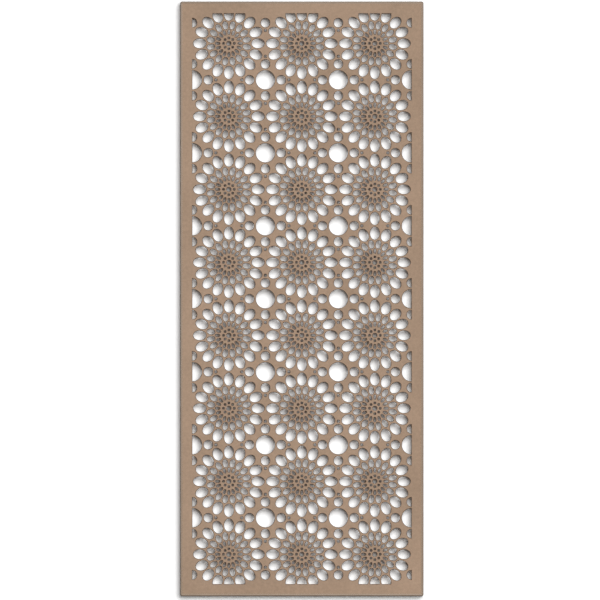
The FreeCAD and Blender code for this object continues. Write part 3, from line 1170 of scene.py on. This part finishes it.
@dataclass
class EdgeInserts:
    """The threaded inserts in the top and bottom edges. Sizes are in millimetres."""

    bore: float = 5.0
    bolt: float = 6.0
    bolt_pitch: float = 1.0
    wood_pitch: float = 3.0
    wood_depth: float = 0.9
    collar: float = 3.5
    slot: float = 2.0
    slot_depth: float = 2.5
    ease: float = 0.3
    brass: WornMetal = WornMetal(
        "turned_brass", pale="#D2AE62", dark="#B48C41", patch_mm=3.0, turning_mm=0.5,
        roughness=0.32, axis=Axis.UPRIGHT,
    )

    def sizes(self) -> dict[str, float]:
        """Works out what all inserts share.

        Returns:
            Radii, lengths and depths in metres, by the names of the tree's inputs.
        """
        return {
            "Bore": self.bore / 2 * MM, "Bolt": self.bolt / 2 * MM, "Bolt Pitch": self.bolt_pitch * MM,
            "Wood Pitch": self.wood_pitch * MM, "Wood Depth": self.wood_depth * MM,
            "Collar": self.collar * MM, "Slot": self.slot * MM, "Slot Depth": self.slot_depth * MM,
            "Ease": self.ease * MM,
        }

    def tree(self, finish: Material) -> NodeTree:
        """Builds the tree of one slotted insert, threaded for wood outside and for a bolt inside.

        Args:
            finish: The insert's finish.

        Returns:
            The tree. The insert goes down from its mouth, unless it is turned.
        """
        inputs = {"Mouth": "Vector", "Turn": "Vector", "Radius": "Float", "Length": "Float"}
        inputs.update(dict.fromkeys(self.sizes(), "Float"))
        tree, given, result = geometry_tree("threaded insert", inputs)
        body = TurnedRod(tree, sides=32, rings=50, length=given["Length"])
        groove = body.thread(given["Wood Pitch"], given["Wood Depth"], given["Collar"])
        shank = add_node(tree, "ShaderNodeMath", {0: given["Radius"], 1: groove}, operation="SUBTRACT")
        rim = add_node(tree, "ShaderNodeMath", {0: given["Radius"], 1: given["Ease"]}, operation="SUBTRACT")
        eased = add_node(tree, "ShaderNodeMath", {0: rim, 1: body.drop}, operation="ADD")
        outline = add_node(tree, "ShaderNodeMath", {0: shank, 1: eased}, operation="MINIMUM")
        # The tap and the slot's blade reach past the insert, so that none of their faces lies on its own.
        past = add_node(tree, "ShaderNodeMath", {0: given["Ease"], 1: 2.0}, operation="MULTIPLY")
        reach = add_node(tree, "ShaderNodeMath", {0: given["Length"], 1: past}, operation="ADD")
        tap = TurnedRod(tree, sides=24, rings=104, length=reach.outputs[0])
        depth = add_node(tree, "ShaderNodeMath", {0: given["Bolt"], 1: given["Bore"]}, operation="SUBTRACT")
        crest = tap.thread(given["Bolt Pitch"], depth.outputs[0], start=-1.0)
        tapped = add_node(tree, "ShaderNodeMath", {0: given["Bolt"], 1: crest}, operation="SUBTRACT")
        mouth = add_node(tree, "ShaderNodeMath", {0: given["Bolt"], 1: past}, operation="ADD")
        sunk = add_node(tree, "ShaderNodeMath", {0: mouth, 1: tap.drop}, operation="SUBTRACT")
        inside = add_node(tree, "ShaderNodeMath", {0: tapped, 1: sunk}, operation="MAXIMUM")
        raised = add_node(tree, "ShaderNodeCombineXYZ", {"Z": given["Ease"]})
        bored = add_node(
            tree, "GeometryNodeTransform",
            {"Geometry": tap.turned(inside.outputs[0]), "Translation": raised},
        )
        across = add_node(tree, "ShaderNodeMath", {0: given["Radius"], 1: 3.0}, operation="MULTIPLY")
        deep = add_node(tree, "ShaderNodeMath", {0: given["Slot Depth"], 1: 2.0}, operation="MULTIPLY")
        size = add_node(tree, "ShaderNodeCombineXYZ", {"X": across, "Y": given["Slot"], "Z": deep})
        blade = add_node(tree, "GeometryNodeMeshCube", {"Size": size})
        cut = add_node(
            tree, "GeometryNodeMeshBoolean",
            {"Mesh 1": body.turned(outline.outputs[0]), "Mesh 2": blade},
            operation="DIFFERENCE", solver="MANIFOLD",
        )
        tree.links.new(bored.outputs[0], cut.inputs["Mesh 2"])
        rotation = add_node(tree, "FunctionNodeEulerToRotation", {0: given["Turn"]})
        placed = add_node(
            tree, "GeometryNodeTransform",
            {
                "Geometry": finished_cut(tree, cut.outputs[0]), "Translation": given["Mouth"],
                "Rotation": rotation,
            },
        )
        whole = add_node(tree, "GeometryNodeRealizeInstances", {0: placed})
        dressed = add_node(tree, "GeometryNodeSetMaterial", {"Geometry": whole, "Material": finish})
        tree.links.new(dressed.outputs[0], result.inputs[0])
        return tree

    def build(self) -> None:
        """Builds the four inserts."""
        tree = self.tree(self.brass.material())
        for end, turn in (("top", 0.0), ("bottom", math.pi)):
            for side in ("left", "right"):
                low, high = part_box(f"{end}_{side}_insert")
                middle = (low + high) / 2
                values = {
                    "Mouth": (middle.x, middle.y, high.z if end == "top" else low.z),
                    "Turn": (turn, 0.0, 0.0),
                    "Radius": (high.x - low.x) / 2,
                    "Length": high.z - low.z,
                }
                insert = grown_piece(f"insert_{end}_{side}", tree, values | self.sizes())
                settle(insert, "inserts", f"{end}_{side}_insert")


@dataclass
class Stage:
    """White wall and floor, soft light and the camera. Lengths are in metres."""

    picture_height: float = 2.2196
    aim_left: float = 0.0069
    aim_down: float = 0.0043
    camera_distance: float = 6.0
    wall_gap: float = 0.0005
    wall_half: float = 8.0
    key_shift: tuple[float, float] = (0.25, 0.30)
    key_strength: float = 2.68
    softness: float = 0.75
    rear_way: tuple[float, float, float] = (0.4, -1.0, -0.6)
    rear_strength: float = 3.0
    ambient: float = 0.12

    def plane(self, name: str, corners: list[tuple[float, float, float]]) -> None:
        """Adds one white stage plane.

        Args:
            name: The plane's name.
            corners: Its four corners, counterclockwise as seen from its front.
        """
        mesh = bpy.data.meshes.new(name)
        mesh.from_pydata(corners, [], [tuple(range(len(corners)))])
        mesh.materials.append(StagePaint(f"{name}_white").material())
        plane = bpy.data.objects.new(name, mesh)
        bpy.context.collection.objects.link(plane)
        plane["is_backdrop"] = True

    def sun(self, name: str, towards: Vector, strength: float) -> None:
        """Adds one soft distant lamp.

        Args:
            name: The lamp's name.
            towards: The way that its light goes.
            strength: Its strength.
        """
        lamp = bpy.data.lights.new(name, "SUN")
        lamp.energy = strength
        lamp.angle = self.softness
        holder = bpy.data.objects.new(name, lamp)
        holder.rotation_euler = towards.to_track_quat("-Z", "Y").to_euler()
        bpy.context.collection.objects.link(holder)

    def world(self) -> None:
        """Sets the even room light, and the white that the eye and reflections see behind the stage."""
        world = bpy.data.worlds.new("white_room")
        bpy.context.scene.world = world
        world.use_nodes = True
        tree = world.node_tree
        background = tree.nodes["Background"]
        background.inputs["Color"].default_value = (1.0, 1.0, 1.0, 1.0)
        seen = seen_rays(tree, add_node(tree, "ShaderNodeLightPath"))
        level = add_node(tree, "ShaderNodeMapRange", {"Value": seen, "To Min": self.ambient})
        tree.links.new(level.outputs[0], background.inputs["Strength"])

    def camera(self, panel: tuple[Vector, Vector]) -> None:
        """Aims the camera straight at the panel's face.

        Args:
            panel: Lowest and highest corner of the whole panel.
        """
        lens = bpy.data.cameras.new("camera")
        lens.type = "ORTHO"
        lens.ortho_scale = self.picture_height
        holder = bpy.data.objects.new("camera", lens)
        middle = (panel[0] + panel[1]) / 2
        holder.location = (middle.x - self.aim_left, -self.camera_distance, middle.z - self.aim_down)
        holder.rotation_euler = (math.radians(90), 0, 0)
        bpy.context.collection.objects.link(holder)
        bpy.context.scene.camera = holder

    def build(self, panel: tuple[Vector, Vector]) -> None:
        """Sets the whole stage.

        Args:
            panel: Lowest and highest corner of the whole panel.
        """
        bpy.context.scene.view_settings.view_transform = "Standard"
        low, high = panel
        half = self.wall_half
        back = high.y + self.wall_gap
        under = low.z - self.wall_gap
        square = [(-half, -half), (half, -half), (half, half), (-half, half)]
        self.plane("wall", [(x, back, z) for x, z in square])
        self.plane("floor", [(x, y, under) for x, y in square])
        right, up = self.key_shift
        self.sun("key_light", Vector((-right, 1.0, -up)), self.key_strength)
        self.sun("rear_light", Vector(self.rear_way), self.rear_strength)
        self.world()
        self.camera(panel)


def main() -> None:
    """Builds and dresses the panel piece by piece, then sets the stage."""
    logging.basicConfig(level=logging.INFO, format="%(message)s")
    for leftover in list(bpy.data.objects):
        bpy.data.objects.remove(leftover)
    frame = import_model()
    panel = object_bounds()
    nodes = frame["nodes"]
    PiercedBoard().build(panel)
    EdgeLippings().build(nodes)
    BackFrame().build(nodes)
    FrameScrews().build()
    EdgeInserts().build()
    Stage().build(panel)


if __name__ == "__main__":
    main()
